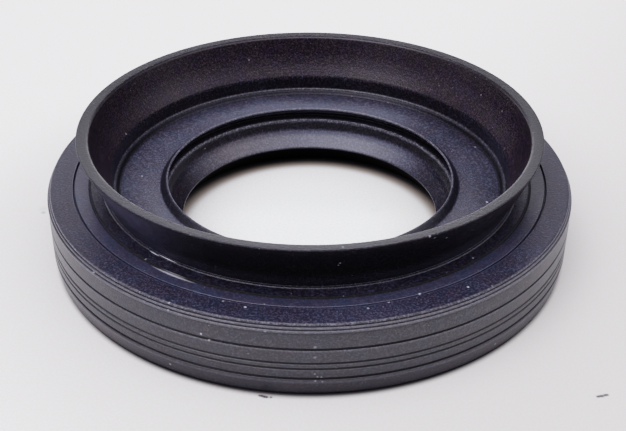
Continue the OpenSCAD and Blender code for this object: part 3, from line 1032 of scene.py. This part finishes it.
# %% Darken the paper under the seal
RING_INNER, RING_OUTER = (0.034, 0.03, 0.034, 1), (0.026, 0.023, 0.025, 1)
RING_AT_BORE = (0.25, 0.215, 0.185, 1)
FRONT_REACH = 0.5 * MM
to_front = t.math("POWER", t.math("DIVIDE", t.math("MINIMUM", parts["Y"], 0.0), radius), 2.0)
outside = fade(t, t.tone(radius, -FRONT_REACH, to_front), 33.1, 34.15)
inside = fade(t, radius, 18.3, 16.6)
ring = coat(t, fade(t, radius, 19.6, 18.0), RING_INNER, RING_AT_BORE)
ring = coat(t, fade(t, radius, 24, 26), ring, RING_OUTER)
paper_colour = coat(t, t.math("MAXIMUM", outside, inside), ring, sheet)
print(f"the dark ring reaches out to about radius {outside_r:.0f} mm")

# %% [markdown]
# A few dark marks lie on the sheet, most of them along the seal's front edge. They are motes again, each
# with its place, a size and a strength, but dark.

# %% Place the marks and stage the floor
PAPER_MARKS = [
    (9.3, 5.0, 0.8, 0.07), (-37.4, 4.9, 0.7, 0.15), (-37.2, 3.9, 0.35, 0.5),
    (-5.4, -33.8, 0.2, 0.9), (-5.15, -33.85, 0.24, 1.0), (-4.87, -33.98, 0.27, 1.0),
    (-4.6, -34.05, 0.22, 1.0), (-4.15, -34.07, 0.2, 0.9), (31.9, -33.7, 0.24, 0.95),
    (32.15, -33.62, 0.22, 0.9), (32.4, -33.6, 0.26, 0.95), (32.75, -33.45, 0.24, 0.95),
    (33.0, -33.4, 0.22, 0.9),
]
MARK_COLOUR = (0.02, 0.02, 0.025, 1)
for mark_x, mark_y, size, strength in PAPER_MARKS:
    spot = (mark_x * MM, mark_y * MM, 0)
    speck = t.group(mote, Vector=at, Place=spot, Size=size * MM, Strength=strength)[0]
    paper_colour = coat(t, speck, paper_colour, MARK_COLOUR)
t.wire(paper_colour, surface.inputs["Base Color"])
surface.inputs["Roughness"].default_value = 0.9
floor.data.materials.append(paper)
print(len(PAPER_MARKS), "marks on the paper")

# %% [markdown]
# ## Light
# The photograph was taken in soft light from all round: the seal hardly throws a shadow. Lamps could do
# that, but a world can hold the same softboxes as smooth round patches of brightness, which need no place
# in the room and render with little noise. The group for one patch compares two directions: their dot product
# is the cosine of the angle between them, and the light fades out as that angle nears the spread.

# %% Group: one soft patch of light
sky_patch, t, given, out = new_group(
    "sky patch", ["Direction", "Towards"], ["Spread", "Strength"], ["Light"]
)
between = {0: given["Direction"], 1: given["Towards"]}
facing = t.add("ShaderNodeVectorMath", between, operation="DOT_PRODUCT")
away = t.math("ARCCOSINE", facing.outputs["Value"])
inside = t.ramp(t.math("DIVIDE", away, given["Spread"]), 1.0, 0.0)
t.wire(t.times(inside, given["Strength"]), out.inputs["Light"])
print("made", sky_patch.name)

# %% [markdown]
# The room has sixteen such patches. Each has a direction, as degrees round from the right and degrees up,
# then a spread in degrees and a strength. The strongest stands high at the front left. Their sum is the
# world's strength, and one faint blue tint serves for all. A filmic view with high contrast keeps the deep
# blacks of the photograph.

# %% Light the scene
SOFT_PATCHES = [
    ("top", 0, 90, 40, 0.96), ("high right", 30, 60, 36, 0.8),
    ("high back", 90, 60, 36, 0.17), ("high back left", 150, 60, 36, 1.4),
    ("high front left", 210, 60, 36, 4.27), ("high front", 270, 60, 36, 2.45),
    ("high front right", 330, 60, 36, 1.46), ("right", 0, 34, 38, 1.46),
    ("front left", 225, 34, 38, 1.4), ("front", 270, 34, 38, 0.14),
    ("front right", 315, 34, 38, 0.69), ("low right", 0, 8, 34, 0.46),
    ("low back right", 45, 8, 34, 0.55), ("low back", 90, 8, 34, 2.55),
    ("low back left", 135, 8, 34, 1.48), ("low left", 180, 8, 34, 1.08),
]
SKY_GAIN = 1.42
SKY_TINT = (0.98, 0.97, 1.04, 1)
world = bpy.data.worlds.new("room")
world.use_nodes = True
t = Tree(world.node_tree)
way = t.add("ShaderNodeTexCoord").outputs["Generated"]
glow = 0.0
for name, turned, raised, spread, strength in SOFT_PATCHES:
    flat = cos(radians(raised))
    towards = (flat * cos(radians(turned)), flat * sin(radians(turned)), sin(radians(raised)))
    power = strength * SKY_GAIN
    light = t.group(sky_patch, Direction=way, Towards=towards, Spread=radians(spread), Strength=power)
    glow = t.math("ADD", glow, light["Light"])
    print(f"{name}: {power:.2f}")
background = world.node_tree.nodes["Background"]
t.wire(glow, background.inputs["Strength"])
background.inputs["Color"].default_value = SKY_TINT
scene = bpy.context.scene
scene.world = world
scene.view_settings.view_transform = "Filmic"
scene.view_settings.look = "High Contrast"

# %% [markdown]
# ## Camera
# The camera was found by fitting circles of the seal to the photograph: how high it looks down from, how
# far off it is in outside radii, how long its lens is in pixels of the picture, and three small turns.

# %% Place the camera
CAMERA_UP = radians(32.90)
CAMERA_RADII = 4.312
FOCAL_PIXELS = 1071.5
PHOTO_WIDTH = 626
PAN, TILT, ROLL = radians(-0.18), radians(0.73), radians(-0.30)
SENSOR_MM = 36
stand = Vector((0, -cos(CAMERA_UP), sin(CAMERA_UP))) * CAMERA_RADII * outside_r * MM
look = -stand.normalized()
right = Vector((1, 0, 0))
rows = Matrix((right, right.cross(look), look))
rows = (
    Matrix.Rotation(ROLL, 3, "Z") @ Matrix.Rotation(TILT, 3, "X") @ Matrix.Rotation(PAN, 3, "Y") @ rows
)
camera = bpy.data.objects.new("camera", bpy.data.cameras.new("camera"))
camera.data.sensor_width = SENSOR_MM
camera.data.lens = FOCAL_PIXELS / PHOTO_WIDTH * SENSOR_MM
camera.data.clip_start = 0.005
camera.data.clip_end = 10
turn = Matrix((rows[0], rows[1], -rows[2])).transposed()
camera.matrix_world = Matrix.Translation(stand) @ turn.to_4x4()
scene.collection.objects.link(camera)
scene.camera = camera
print(f"camera {stand.length / MM:.0f} mm away, lens {camera.data.lens:.1f} mm")
